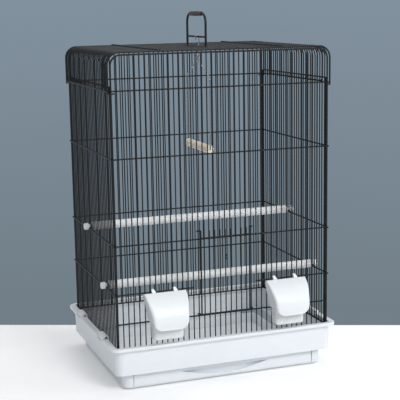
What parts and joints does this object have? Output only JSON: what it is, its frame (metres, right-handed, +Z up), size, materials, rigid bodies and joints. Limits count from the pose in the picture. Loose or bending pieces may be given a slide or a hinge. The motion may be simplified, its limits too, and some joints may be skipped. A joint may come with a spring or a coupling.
{
  "type": "bird cage",
  "caption": "Upright welded-wire bird cage with a bent roof cap, sliding door, hooded outside feeders, perches, hanging swing, carrying handle and a plastic base with a drawer.",
  "frame": {"origin": "centre of the flat underside of the base, on the middle foot, which is level with the four corner feet", "axes": "+Z up, +X along the width towards the right end seen from the front, -Y out of the front with the door and feeders"},
  "size_m": [0.458, 0.3718, 0.6927],
  "materials": {
    "white_plastic": "smooth moulded, semi-gloss",
    "coated_wire": "dark powder coat over welded steel wire",
    "clear_plastic": "clear, slightly frosted, moulded",
    "perch_plastic": "satin moulded",
    "cap_plastic": "satin moulded, white",
    "grip_plastic": "satin moulded",
    "zinc_wire": "bright zinc plated wire",
    "perch_wood": "turned, fine sanded, unvarnished"
  },
  "bodies": {
    "frame": {"base": "white_plastic", "front_panel": "coated_wire", "back_panel": "coated_wire", "left_panel": "coated_wire", "right_panel": "coated_wire", "roof_cap": "coated_wire", "perch_upper": "perch_plastic", "perch_lower": "perch_plastic", "perch_caps": "cap_plastic", "handle_bail": "coated_wire"},
    "drawer": {"drawer": "white_plastic"},
    "door": {"door": "coated_wire", "door_rings": "coated_wire"},
    "clip_left_front": {"base_clip_left_front": "white_plastic"},
    "clip_left_back": {"base_clip_left_back": "white_plastic"},
    "clip_right_front": {"base_clip_right_front": "white_plastic"},
    "clip_right_back": {"base_clip_right_back": "white_plastic"},
    "feeder_hood_left": {"feeder_hood_left": "white_plastic"},
    "feeder_hood_right": {"feeder_hood_right": "white_plastic"},
    "feeder_cup_left": {"feeder_cup_left": "clear_plastic"},
    "feeder_cup_right": {"feeder_cup_right": "clear_plastic"},
    "handle_grip": {"handle_grip": "grip_plastic"},
    "swing_hook": {"swing_hook": "zinc_wire"},
    "swing_frame": {"swing_frame": "zinc_wire"},
    "swing_perch": {"swing_perch": "perch_wood"}
  },
  "joints": [
    {"name": "drawer_slide", "type": "slide", "parent": "frame", "child": "drawer", "axis": [0, -1, 0], "range_m": [0, 0.25]},
    {"name": "door_slide", "type": "slide", "parent": "frame", "child": "door", "axis": [0, 0, 1], "range_m": [0, 0.136]},
    {"name": "clip_left_front_hinge", "type": "hinge", "parent": "frame", "child": "clip_left_front", "pos_m": [-0.2245, -0.08, 0.0856], "axis": [0, -1, 0], "range_deg": [0, 75]},
    {"name": "clip_left_back_hinge", "type": "hinge", "parent": "frame", "child": "clip_left_back", "pos_m": [-0.2245, 0.08, 0.0856], "axis": [0, -1, 0], "range_deg": [0, 75]},
    {"name": "clip_right_front_hinge", "type": "hinge", "parent": "frame", "child": "clip_right_front", "pos_m": [0.2245, -0.08, 0.0856], "axis": [0, 1, 0], "range_deg": [0, 75]},
    {"name": "clip_right_back_hinge", "type": "hinge", "parent": "frame", "child": "clip_right_back", "pos_m": [0.2245, 0.08, 0.0856], "axis": [0, 1, 0], "range_deg": [0, 75]},
    {"name": "feeder_hood_left_hinge", "type": "hinge", "parent": "frame", "child": "feeder_hood_left", "pos_m": [-0.1219, -0.1538, 0.1845], "axis": [-1, 0, 0], "range_deg": [0, 60]},
    {"name": "feeder_cup_left_slide", "type": "slide", "parent": "frame", "child": "feeder_cup_left", "axis": [0, 0, 1], "range_m": [0, 0.01]},
    {"name": "feeder_hood_right_hinge", "type": "hinge", "parent": "frame", "child": "feeder_hood_right", "pos_m": [0.1219, -0.1538, 0.1845], "axis": [-1, 0, 0], "range_deg": [0, 60]},
    {"name": "feeder_cup_right_slide", "type": "slide", "parent": "frame", "child": "feeder_cup_right", "axis": [0, 0, 1], "range_m": [0, 0.01]},
    {"name": "grip_spin", "type": "hinge", "parent": "frame", "child": "handle_grip", "pos_m": [0.007, 0, 0.688], "axis": [0, 1, 0], "continuous": true},
    {"name": "swing_hook_hinge", "type": "hinge", "parent": "frame", "child": "swing_hook", "pos_m": [0.007, -0.0052, 0.644], "axis": [0, 1, 0], "range_deg": [-12, 12]},
    {"name": "swing_frame_hinge", "type": "hinge", "parent": "swing_hook", "child": "swing_frame", "pos_m": [0.007, -0.0052, 0.607], "axis": [0, 1, 0], "range_deg": [-25, 25]},
    {"name": "swing_perch_spin", "type": "hinge", "parent": "swing_frame", "child": "swing_perch", "pos_m": [0.007, -0.0052, 0.43], "axis": [0, 1, 0], "continuous": true}
  ]
}
